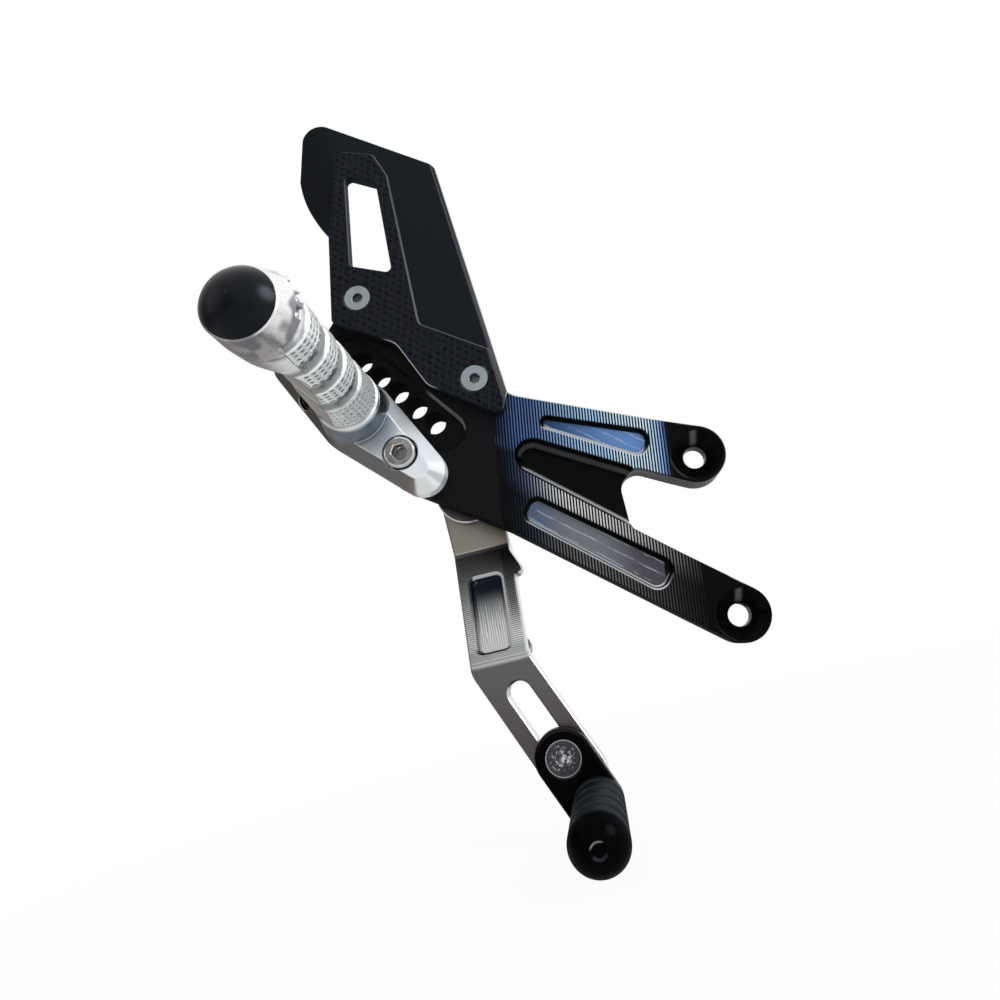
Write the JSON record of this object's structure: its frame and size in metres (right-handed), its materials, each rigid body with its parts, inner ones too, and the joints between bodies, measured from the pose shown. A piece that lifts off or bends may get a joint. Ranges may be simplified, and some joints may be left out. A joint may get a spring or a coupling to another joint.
{
  "type": "rear set footrest",
  "caption": "Right-hand rear set footrest with a black bracket, a silver knurled peg, a heel guard and a brake lever with an adjustable toe peg.",
  "frame": {"origin": "midway between the two frame bolts, on the back face of the arm tips", "axes": "+Y to the motorcycle's frame, along the frame bolts; +Z from the lower to the upper frame bolt; +X from the peg to the frame bolts"},
  "size_m": [0.1781, 0.1452, 0.3229],
  "materials": {
    "bracket_black": "black anodised, satin hub and milled glossy arms",
    "carrier_silver": "silver anodised, fine milled",
    "peg_silver": "silver, knurled lands and smooth grooves",
    "plug_black": "glossy moulded dome",
    "guard_black": "black anodised, woven texture beside a smooth field",
    "screw_zinc": "zinc plated",
    "bolt_steel": "stainless",
    "lever_grey": "grey anodised with milling lines",
    "bush_bronze": "sintered bronze",
    "toe_black": "black anodised, satin",
    "screw_dark": "blackened steel with a bright socket"
  },
  "bodies": {
    "bracket": {"main_plate": "bracket_black", "peg_carrier": "carrier_silver", "carrier_bolt_upper": "bolt_steel", "carrier_bolt_lower": "bolt_steel", "foot_peg": "peg_silver", "peg_end_plug": "plug_black", "peg_bolt": "bolt_steel", "peg_pin": "bolt_steel", "heel_guard": "guard_black", "guard_screw_upper": "screw_zinc", "guard_screw_lower": "screw_zinc", "pivot_bolt": "bolt_steel", "pivot_spacer": "carrier_silver", "pivot_washer": "bolt_steel"},
    "brake_lever": {"lever": "lever_grey", "spring_post": "bolt_steel", "pivot_bush_front": "bush_bronze", "pivot_bush_back": "bush_bronze"},
    "toe_slider": {"toe_screw": "screw_dark", "toe_washer": "bolt_steel", "toe_nut": "bolt_steel"},
    "toe_piece": {"toe_arm": "toe_black", "toe_peg": "toe_black", "toe_peg_bolt": "bolt_steel"}
  },
  "joints": [
    {"name": "lever_pivot", "type": "hinge", "parent": "bracket", "child": "brake_lever", "pos_m": [-0.0985, 0.00425, 0.0435], "axis": [0, 1, 0], "range_deg": [0, 15], "stiffness_Nm_per_rad": 3, "springref_deg": -6.88},
    {"name": "toe_slide", "type": "slide", "parent": "brake_lever", "child": "toe_slider", "axis": [0.4003, 0, -0.9164], "range_m": [-0.0276, 0.0048]},
    {"name": "toe_turn", "type": "hinge", "parent": "toe_slider", "child": "toe_piece", "pos_m": [-0.08033, -0.0305, -0.06894], "axis": [0, 1, 0], "range_deg": [-45, 45]}
  ]
}
